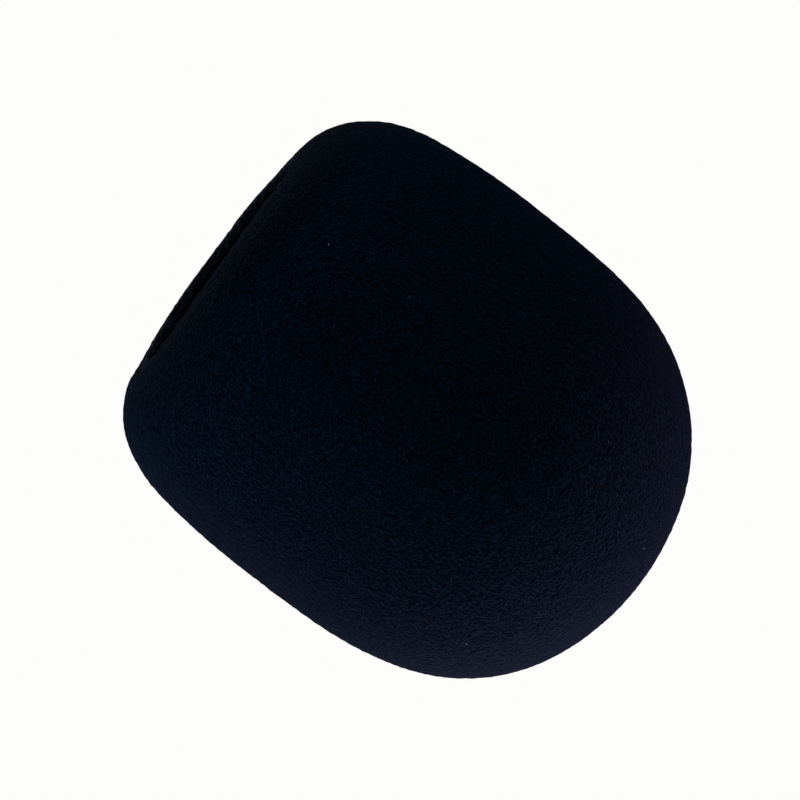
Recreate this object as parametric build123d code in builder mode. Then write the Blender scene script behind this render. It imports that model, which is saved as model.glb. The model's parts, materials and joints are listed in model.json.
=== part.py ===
"""Slip-on foam windscreen for a hand-held microphone.

The whole object is one block of open-cell foam: a body of revolution with a rounded dome,
rounded shoulders and a flat rim round the mouth. A straight throat leads from the mouth
into a bulb-shaped cavity that the microphone's head fills.

Units are millimetres. The origin is the centre of the mouth, on the flat rim, and +Z runs
along the axis towards the dome, so the windscreen stands on its rim.
"""
import os

from build123d import *

# Driving dimensions of the outside
length = 74.8  # flat rim to the top of the dome
outer_radius = 32.5
widest_height = 32.1  # height of the widest circle above the rim
rim_radius = 19.0  # outer edge of the flat rim

# Driving dimensions of the inside
throat_radius = 17.0
throat_length = 10.0
cavity_radius = 23.0
crown_wall = 12.0  # foam left between the cavity and the top of the dome

# Points of the outline, as (radius, height)
rim_inner = (throat_radius, 0)
rim_outer = (rim_radius, 0)
widest_point = (outer_radius, widest_height)
dome_top = (0, length)
cavity_top = (0, length - crown_wall)
cavity_height = length - crown_wall - cavity_radius
cavity_centre = (0, cavity_height)
cavity_side = (cavity_radius, cavity_height)
throat_top = (throat_radius, throat_length)

# Handles of the outer curves. The first and last handle of each curve lie level with the rim
# or the dome's top, or straight above or below the widest circle, so nothing has a kink.
shoulder_handles = [(22.1, 0), (32.1, 3.8), (outer_radius, 13.7)]
dome_handles = [(outer_radius, 48.7), (32.9, 67.2), (14.0, length)]

# Handles of the curve that widens the throat into the cavity
flare_handles = [(throat_radius, throat_length + 9), (cavity_radius, 26)]

with BuildPart() as foam_windscreen:
    with BuildSketch(Plane.XZ):
        with BuildLine():
            # Outside, from the rim up to the top of the dome
            Bezier(rim_outer, *shoulder_handles, widest_point)
            Bezier(widest_point, *dome_handles, dome_top)
            # Through the foam of the crown
            Line(dome_top, cavity_top)
            # Inside, down to the rim again
            CenterArc(cavity_centre, cavity_radius, start_angle=0, arc_size=90)
            Bezier(cavity_side, *reversed(flare_handles), throat_top)
            Line(throat_top, rim_inner)
            Line(rim_inner, rim_outer)
        make_face()
    revolve(axis=Axis.Z)

foam_windscreen.part.label = "foam_windscreen"

os.makedirs("parts", exist_ok=True)
export_step(foam_windscreen.part, "parts/foam_windscreen.step")
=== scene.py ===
"""Looks, light and camera for the black foam windscreen. Lengths are in metres."""

import json
import math

import bpy
import numpy as np
from mathutils import Matrix, Vector, noise


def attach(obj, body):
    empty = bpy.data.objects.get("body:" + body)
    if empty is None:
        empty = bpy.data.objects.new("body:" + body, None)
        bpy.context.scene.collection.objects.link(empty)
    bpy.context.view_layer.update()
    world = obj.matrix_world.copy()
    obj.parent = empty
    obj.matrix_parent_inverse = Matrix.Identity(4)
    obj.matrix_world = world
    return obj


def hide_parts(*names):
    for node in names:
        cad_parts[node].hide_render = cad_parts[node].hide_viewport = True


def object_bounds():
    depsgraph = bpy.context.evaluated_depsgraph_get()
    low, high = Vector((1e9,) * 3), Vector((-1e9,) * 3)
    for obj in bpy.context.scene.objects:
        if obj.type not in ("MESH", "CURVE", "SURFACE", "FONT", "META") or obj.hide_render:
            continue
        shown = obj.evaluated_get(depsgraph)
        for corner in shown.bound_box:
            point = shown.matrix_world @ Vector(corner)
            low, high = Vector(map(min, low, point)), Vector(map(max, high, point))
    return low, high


MM = 0.001

# The foam's mesh
VOXEL = 0.54 * MM
MESH_FACES = 195_000

# How far the cut foam departs from the CAD solid
SHOULDER_TUCK = 0.005  # the shoulder is narrower by this part of its radius
DOME_LEAN = 0.42 * MM  # the top of the dome and the mouth are both shifted towards +X
MOUTH_SHIFT = 0.7 * MM
DOME_SWELL = 0.09 * MM

# The foam's material, with colours as linear red, green, blue and alpha
CELL = 0.45 * MM  # the usual width of a foam cell
BUMP_DEPTH = 0.35 * MM
# The pits' colour is painted shade for the hollows of the pores; the struts keep the foam's own
# colour
PIT_SHADE_COLOUR = (0.0007, 0.0043, 0.0140, 1)
STRUT_COLOUR = (0.011, 0.037, 0.090, 1)
# A painted highlight: the paler colour given to the mouth's inner edge, for light caught there
EDGE_HIGHLIGHT_COLOUR = (0.190, 0.170, 0.230, 1)
DUST_COLOUR = (0.75, 0.78, 0.80, 1)
SHEEN_TINT = (0.52, 0.44, 1.0, 1)
SPECK_GAP = 6 * MM  # dust specks are about this far apart in space, so few touch the surface
SPECK_RADIUS = 0.10 * MM

# The floor, the backdrop and the lights
FLOOR_REACH = 1.0  # from its middle to each side
FLOOR_COLOUR = (0.65, 0.73, 0.70, 1)
FLOOR_BOUNCE = (0.20, 0.50, 0.50, 1)  # what the foam gets back from the floor is weaker and bluer
FLOOR_GLOW = (1.0, 1.0, 0.98, 1)
FLOOR_LIFT = 0.58  # the glow that brings the floor up to the backdrop's white
BACKDROP_COLOUR = (0.982, 0.982, 0.965, 1)
LIGHT_SIZE = 0.25

# The camera looks a little upwards, and is rolled so that the mouth is at the upper left
CAMERA_DISTANCE = 600 * MM
CAMERA_DROP = math.radians(6.25)
CAMERA_ROLL = math.radians(127.75)
VIEW_WIDTH = 112.15 * MM  # what the frame spans at the windscreen's middle
AIM_RIGHT = -4.10 * MM  # how far the middle of the frame is from the windscreen's middle
AIM_UP = 2.72 * MM

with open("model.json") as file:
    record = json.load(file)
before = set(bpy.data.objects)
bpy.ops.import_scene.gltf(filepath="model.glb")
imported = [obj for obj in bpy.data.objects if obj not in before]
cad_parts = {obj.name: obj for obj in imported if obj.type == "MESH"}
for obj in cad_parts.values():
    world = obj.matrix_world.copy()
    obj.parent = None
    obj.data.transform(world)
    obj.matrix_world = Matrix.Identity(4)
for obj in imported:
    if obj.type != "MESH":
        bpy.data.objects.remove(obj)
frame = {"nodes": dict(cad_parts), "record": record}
CAD_LOW, CAD_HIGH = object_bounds()
LENGTH = CAD_HIGH.z
MOUNTS = {mount["name"]: mount for mount in frame["record"]["mounts"]}
MOUTH_RADIUS = MOUNTS["mouth"]["dims"]["r_mm"] * MM


def apply_modifiers(obj):
    """Works the object's modifiers into its mesh, and returns the new mesh."""
    depsgraph = bpy.context.evaluated_depsgraph_get()
    mesh = bpy.data.meshes.new_from_object(obj.evaluated_get(depsgraph))
    obj.modifiers.clear()
    obj.data = mesh
    return mesh


def read_points(mesh):
    flat = np.empty(len(mesh.vertices) * 3)
    mesh.vertices.foreach_get("co", flat)
    return flat.reshape(-1, 3)


def read_normals(mesh):
    flat = np.empty(len(mesh.vertices) * 3)
    mesh.vertex_normals.foreach_get("vector", flat)
    return flat.reshape(-1, 3)


def write_points(mesh, points):
    mesh.vertices.foreach_set("co", points.ravel())
    mesh.update()


def noise_at(points, size, offset):
    """Smooth noise from about -1 to 1 at each point, with bumps of about the size given."""
    shifted = points / size + offset
    return np.array([noise.noise(p) for p in shifted.tolist()])


def ramp(x, low, high):
    """0 below low, 1 above high, and smooth between them."""
    t = np.clip((x - low) / (high - low), 0, 1)
    return t * t * (3 - 2 * t)


def mound(x, middle, width):
    """1 at the middle, falling off on both sides."""
    return np.exp(-(((x - middle) / width) ** 2) / 2)


def bore_distance(points):
    """How far each point is from the mouth's inner edge."""
    radius = np.hypot(points[:, 0], points[:, 1])
    return np.hypot(radius - MOUTH_RADIUS, points[:, 2])


def inside(points, normals):
    """1 on the wall of the throat and the cavity, 0 on the outside."""
    centre_height = LENGTH / 2
    towards = -points[:, 0] * normals[:, 0] - points[:, 1] * normals[:, 1]
    towards -= (points[:, 2] - centre_height) * normals[:, 2]
    return (towards > 0).astype(float)


def mark(piece, name, weights):
    """Adds a vertex group, from one weight per point."""
    group = piece.vertex_groups.new(name=name)
    for index in np.nonzero(weights > 0.01)[0].tolist():
        group.add([index], float(weights[index]), "REPLACE")


def even_mesh(piece):
    """Remeshes the piece into small even faces, with larger ones deep inside the cavity."""
    remesh = piece.modifiers.new("even_faces", "REMESH")
    remesh.mode = "VOXEL"
    remesh.voxel_size = VOXEL
    mesh = apply_modifiers(piece)
    points = read_points(mesh)
    deep = ramp(points[:, 2], 5 * MM, 9 * MM)
    mark(piece, "hidden", deep * inside(points, read_normals(mesh)))
    thin = piece.modifiers.new("fewer_inside", "DECIMATE")
    thin.vertex_group = "hidden"
    thin.vertex_group_factor = 1000  # so high that nearly all faces go from the cavity
    thin.ratio = MESH_FACES / (2 * len(mesh.polygons))  # the mesh has quads, the goal triangles
    apply_modifiers(piece)


def soften_edge(piece):
    """Rounds the mouth's inner edge a little, as soft foam does."""
    near = 1 - ramp(bore_distance(read_points(piece.data)), 0.9 * MM, 2.2 * MM)
    mark(piece, "edge", near)
    smooth = piece.modifiers.new("round_edge", "SMOOTH")
    smooth.vertex_group = "edge"
    smooth.factor = 0.5
    smooth.iterations = 14
    apply_modifiers(piece)


def settle(points):
    """Moves the points by the dome's slight lean and the mouth's unevenness."""
    x, y, z = points.T
    radius = np.hypot(x, y)
    moved = points.copy()
    moved[:, :2] *= (1 - SHOULDER_TUCK * mound(z, 18 * MM, 4 * MM))[:, None]
    moved[:, 0] += DOME_LEAN * ramp(z, 50 * MM, 68 * MM)
    moved[:, 2] += DOME_SWELL * mound(radius, 17 * MM, 3 * MM) * ramp(z, 60 * MM, 68 * MM)

    # The mouth's edge is shifted and raised towards +X
    low = 1 - ramp(z, 1 * MM, 12 * MM)
    moved[:, 0] += MOUTH_SHIFT * low * (1 - ramp(radius, 18 * MM, 23 * MM))
    beside = np.clip(x / MOUTH_RADIUS, 0, 1.05)
    raised = (0.33 * beside + 0.66 * beside**2) * MM * (1 - 0.35 * y / MOUTH_RADIUS)
    raised -= 0.20 * MM * mound(x, -8.5 * MM, 3 * MM)
    fall = 1 - 0.55 * ramp(radius, 20.2 * MM, 22.4 * MM) - 0.45 * ramp(radius, 20 * MM, 30 * MM)
    moved[:, 2] += raised * fall * (1 - ramp(z, 1 * MM, 7 * MM))
    return moved


def relief(points, normals):
    """How far each point stands out along its normal: lumps, cells, torn edge and cut marks.

    Each layer of noise has an offset of its own, so that no two are alike.
    """
    z = points[:, 2]
    radius = np.hypot(points[:, 0], points[:, 1])
    within = inside(points, normals)
    torn = 1 - ramp(bore_distance(points), 0.6 * MM, 1.8 * MM)
    out = 0.06 * MM * noise_at(points, 14 * MM, 3.0)
    out += 0.11 * MM * noise_at(points, 0.85 * MM, 11.0)
    out += 0.18 * MM * torn * noise_at(points, 1.1 * MM, 23.0)
    rough = 0.30 * MM * noise_at(points, 2.6 * MM, 31.0)
    cuts = 0.10 * MM * np.sin(2 * math.pi * (z + 0.15 * radius) / (2.4 * MM))
    return out + within * ramp(z, 1 * MM, 6 * MM) * (rough + cuts)


def foam_body():
    """The windscreen's foam, made from the CAD solid. A point attribute is 1 at the mouth's inner
    edge, where the material paints a highlight.
    """
    piece = bpy.data.objects.new("foam_body", frame["nodes"]["foam_windscreen"].data.copy())
    bpy.context.collection.objects.link(piece)
    even_mesh(piece)
    soften_edge(piece)
    mesh = piece.data
    points = read_points(mesh)
    normals = read_normals(mesh)
    write_points(mesh, settle(points + normals * relief(points, normals)[:, None]))
    # Marks the mouth's inner edge for the painted highlight
    painted_edge_light = mesh.attributes.new("painted_edge_light", "FLOAT", "POINT")
    painted_edge_light.data.foreach_set("value", 1 - ramp(bore_distance(points), 0.7 * MM, 1.5 * MM))
    mesh.polygons.foreach_set("use_smooth", [True] * len(mesh.polygons))
    piece.vertex_groups.clear()
    return piece


class Nodes:
    """Builds a node tree with short calls. An input's value is a number, a colour or a socket."""

    def __init__(self, tree):
        self.tree = tree
        self.tree.nodes.clear()

    def add(self, kind, inputs=None, **settings):
        node = self.tree.nodes.new(kind)
        for name, value in settings.items():
            setattr(node, name, value)
        for name, value in (inputs or {}).items():
            if isinstance(value, bpy.types.NodeSocket):
                self.tree.links.new(value, node.inputs[name])
            else:
                node.inputs[name].default_value = value
        return node

    def math(self, operation, *values):
        return self.add("ShaderNodeMath", dict(enumerate(values)), operation=operation).outputs[0]

    def mix(self, factor, first, second):
        """The first colour where the factor is 0, and the second where it is 1."""
        inputs = {"Factor": factor, 6: first, 7: second}
        return self.add("ShaderNodeMix", inputs, data_type="RGBA").outputs[2]

    def ease(self, value, low, high, start=0.0, end=1.0):
        """Goes smoothly from start to end as the value goes from low to high."""
        inputs = {"Value": value, "From Min": low, "From Max": high, "To Min": start, "To Max": end}
        return self.add("ShaderNodeMapRange", inputs, interpolation_type="SMOOTHSTEP").outputs[0]


def foam_material():
    """Bluish black open-cell foam: thin, slightly paler struts, with painted shade darkening the
    pits between them.
    """
    material = bpy.data.materials.new("black_foam_cells")
    material.use_nodes = True
    n = Nodes(material.node_tree)
    where = n.add("ShaderNodeTexCoord").outputs["Object"]

    # Cells of uneven shape
    wobble = n.add("ShaderNodeTexNoise", {"Vector": where, "Scale": 1 / CELL, "Detail": 1.0})
    shift = Vector((0.6, 0.6, 0.6)) * CELL
    uneven = n.add(
        "ShaderNodeVectorMath",
        {0: wobble.outputs["Color"], 1: shift, 2: where},
        operation="MULTIPLY_ADD",
    ).outputs[0]
    cells = n.add(
        "ShaderNodeTexVoronoi",
        {"Vector": uneven, "Scale": 1 / CELL},
        feature="DISTANCE_TO_EDGE",
    )
    net = n.ease(cells.outputs["Distance"], 0.03, 0.22, start=1.0, end=0.0)

    # Some struts are torn away or lie deeper than others, and there the painted pit shade shows
    gaps = n.add("ShaderNodeTexNoise", {"Vector": where, "Scale": 0.9 / CELL, "Detail": 3.0})
    kept = n.ease(gaps.outputs["Fac"], 0.38, 0.62, start=0.1)
    struts = n.math("MULTIPLY", net, kept)

    # The mouth's inner edge is painted paler as a painted highlight, and a few specks of dust lie
    # on the rest
    painted_edge_light = n.add("ShaderNodeAttribute", attribute_name="painted_edge_light").outputs["Fac"]
    specks = n.add("ShaderNodeTexVoronoi", {"Vector": where, "Scale": 1 / SPECK_GAP})
    dusty = n.math("LESS_THAN", specks.outputs["Distance"], SPECK_RADIUS / SPECK_GAP)
    # Painted shade: the pits between the struts are darker
    cells_with_pit_shade = n.mix(struts, PIT_SHADE_COLOUR, STRUT_COLOUR)
    foam_and_edge_light = n.mix(n.math("MULTIPLY", painted_edge_light, kept), cells_with_pit_shade, EDGE_HIGHLIGHT_COLOUR)
    colour = n.mix(dusty, foam_and_edge_light, DUST_COLOUR)
    height = n.math("MULTIPLY_ADD", kept, 0.9, struts)
    bump = n.add(
        "ShaderNodeBump", {"Height": height, "Strength": 1.0, "Distance": BUMP_DEPTH}
    ).outputs[0]
    shader = n.add(
        "ShaderNodeBsdfPrincipled",
        {
            "Base Color": colour,
            "Roughness": 0.85,
            "Specular IOR Level": 0.03,
            "Sheen Weight": 0.135,
            "Sheen Roughness": 0.35,
            "Sheen Tint": SHEEN_TINT,
            "Normal": bump,
        },
    )
    n.add("ShaderNodeOutputMaterial", {"Surface": shader.outputs[0]})
    return material


def pale_floor():
    """A plain pale floor under the rim, fading into the backdrop.

    It can't be seen from below, so it never hides the mouth. It casts no shadow, so that the
    low lights shine through it.
    """
    mesh = bpy.data.meshes.new("floor")
    far = FLOOR_REACH
    corners = [(-far, -far, 0), (far, -far, 0), (far, far, 0), (-far, far, 0)]
    mesh.from_pydata(corners, [], [(0, 1, 2, 3)])
    floor = bpy.data.objects.new("floor", mesh)
    bpy.context.collection.objects.link(floor)
    material = bpy.data.materials.new("pale_floor")
    material.use_nodes = True
    n = Nodes(material.node_tree)
    where = n.add("ShaderNodeTexCoord").outputs["Object"]
    reach = n.add("ShaderNodeVectorMath", {0: where}, operation="LENGTH").outputs["Value"]
    fade = n.ease(reach, 0.08, 0.40)
    back = n.add("ShaderNodeNewGeometry").outputs["Backfacing"]
    hidden = n.math("MAXIMUM", fade, back)
    seen = n.add("ShaderNodeLightPath").outputs["Is Camera Ray"]
    lift = n.math("MULTIPLY", seen, FLOOR_LIFT)
    pale = n.add("ShaderNodeBsdfDiffuse", {"Color": FLOOR_COLOUR})
    bounce = n.add("ShaderNodeBsdfDiffuse", {"Color": FLOOR_BOUNCE})
    matt = n.add("ShaderNodeMixShader", {0: seen, 1: bounce.outputs[0], 2: pale.outputs[0]})
    glow = n.add("ShaderNodeEmission", {"Color": FLOOR_GLOW, "Strength": lift})
    lit = n.add("ShaderNodeAddShader", {0: matt.outputs[0], 1: glow.outputs[0]})
    clear = n.add("ShaderNodeBsdfTransparent")
    both = n.add("ShaderNodeMixShader", {0: hidden, 1: lit.outputs[0], 2: clear.outputs[0]})
    n.add("ShaderNodeOutputMaterial", {"Surface": both.outputs[0]})
    mesh.materials.append(material)
    floor.visible_shadow = False


def white_world():
    """A white backdrop that is only seen and gives no light."""
    world = bpy.data.worlds.new("studio")
    bpy.context.scene.world = world
    world.use_nodes = True
    n = Nodes(world.node_tree)
    seen = n.add("ShaderNodeLightPath").outputs["Is Camera Ray"]
    backdrop = n.add("ShaderNodeBackground", {"Color": BACKDROP_COLOUR, "Strength": seen})
    n.add("ShaderNodeOutputWorld", {"Surface": backdrop.outputs[0]})
    bpy.context.scene.view_settings.view_transform = "Standard"


def soft_light(name, place, power, tint):
    """A round area light that points at the middle of the windscreen."""
    middle = Vector((0, 0, LENGTH / 2))
    data = bpy.data.lights.new(name, "AREA")
    data.color = tint
    data.shape = "DISK"
    data.size = LIGHT_SIZE
    data.energy = power
    light = bpy.data.objects.new(name, data)
    light.location = place
    light.rotation_mode = "QUATERNION"
    light.rotation_quaternion = (middle - Vector(place)).to_track_quat("-Z", "Y")
    bpy.context.collection.objects.link(light)


def camera():
    """The camera faces +Y, from below the middle of the windscreen."""
    data = bpy.data.cameras.new("camera")
    cam = bpy.data.objects.new("camera", data)
    bpy.context.collection.objects.link(cam)
    forward = Vector((0, math.cos(CAMERA_DROP), math.sin(CAMERA_DROP)))
    upright = Vector((0, -math.sin(CAMERA_DROP), math.cos(CAMERA_DROP)))
    across = Vector((1, 0, 0))
    right = math.cos(CAMERA_ROLL) * across + math.sin(CAMERA_ROLL) * upright
    up = -math.sin(CAMERA_ROLL) * across + math.cos(CAMERA_ROLL) * upright
    middle = Vector((0, 0, LENGTH / 2))
    place = middle - CAMERA_DISTANCE * forward
    aim = middle + AIM_RIGHT * right + AIM_UP * up

    # The camera is turned towards the aim, without a shift of the lens
    back = (place - aim).normalized()
    right = up.cross(back).normalized()
    up = back.cross(right)
    turn = Matrix((right, up, back)).transposed()
    cam.matrix_world = Matrix.Translation(place) @ turn.to_4x4()
    data.sensor_width = 36
    data.lens = data.sensor_width * CAMERA_DISTANCE / VIEW_WIDTH
    data.clip_start = 0.01
    data.clip_end = 10
    bpy.context.scene.camera = cam


foam = foam_body()
foam.data.materials.clear()
foam.data.materials.append(foam_material())
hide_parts("foam_windscreen")
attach(foam, "root")

pale_floor()
white_world()
soft_light("top", (0, 0, 0.49), power=1.10, tint=(1, 0.85, 0.88))
soft_light("side", (0.32, 0, 0.36), power=0.47, tint=(0.78, 0.94, 1))
soft_light("back_side", (0.26, 0.26, 0.30), power=0.35, tint=(1, 0.92, 0.94))
soft_light("low_side", (0.32, 0, -0.28), power=0.03, tint=(0.5, 1, 1))
soft_light("low_back", (0, 0.32, -0.28), power=0.36, tint=(0.72, 0.90, 1))
soft_light("low_front", (0, -0.20, -0.36), power=0.10, tint=(0.7, 0.95, 1))
camera()
